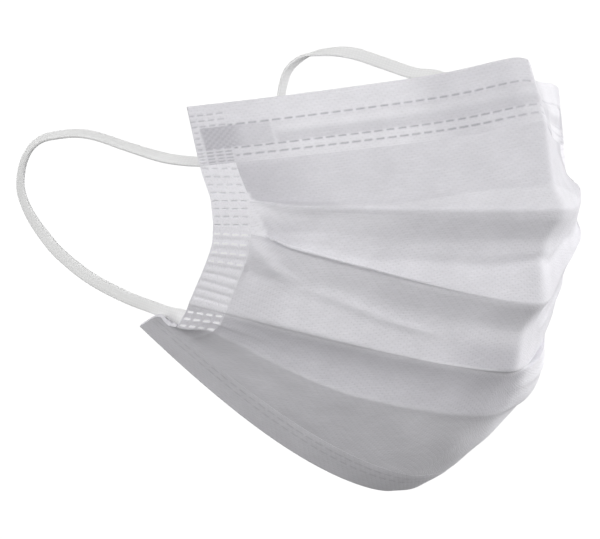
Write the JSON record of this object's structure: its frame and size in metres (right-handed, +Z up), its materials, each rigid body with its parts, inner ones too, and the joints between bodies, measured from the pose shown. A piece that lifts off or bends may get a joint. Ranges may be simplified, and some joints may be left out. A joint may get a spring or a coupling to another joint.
{
  "type": "pleated face mask",
  "caption": "Pleated non-woven face mask in the form it has on a face, with welded hems and side seams, a nose wire in the upper hem and flat elastic ear loops.",
  "frame": {"origin": "middle of the top edge, on the outer face, where the mask sits on the bridge of the nose", "axes": "+X across the face, +Y back towards the face and ears, +Z up"},
  "size_m": [0.1404, 0.1435, 0.1116],
  "materials": {
    "cloth": "matt white spun-bonded non-woven cloth with fine point bonding",
    "wire": "white plastic-coated strip",
    "elastic": "soft white knitted elastic"
  },
  "bodies": {
    "root": {"pleated_panel": "cloth", "top_hem": "cloth", "bottom_hem": "cloth", "side_seam_left": "cloth", "side_seam_right": "cloth", "nose_wire": "wire", "ear_loop_left": "elastic", "ear_loop_right": "elastic"}
  },
  "joints": []
}
